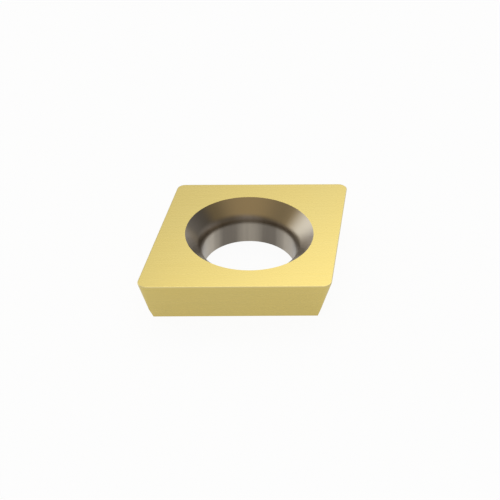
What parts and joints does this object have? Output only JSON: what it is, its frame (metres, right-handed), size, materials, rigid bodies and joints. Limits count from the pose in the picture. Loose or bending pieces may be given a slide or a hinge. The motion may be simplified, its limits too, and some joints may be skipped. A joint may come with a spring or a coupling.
{
  "type": "carbide insert",
  "caption": "Flat rhombic cutting insert with flanks that lean in towards its seat, small rounded noses and a countersunk screw hole, gold coated outside.",
  "frame": {"origin": "on the screw hole's axis, in the seat face", "axes": "+Z from the seat to the rake face, along the screw hole; +X along the front cutting edge, so that the acute noses are at the front left and the back right"},
  "size_m": [0.0046, 0.004, 0.001],
  "materials": {
    "coated_carbide": "satin"
  },
  "bodies": {
    "root": {"carbide_insert": "coated_carbide"}
  },
  "joints": []
}
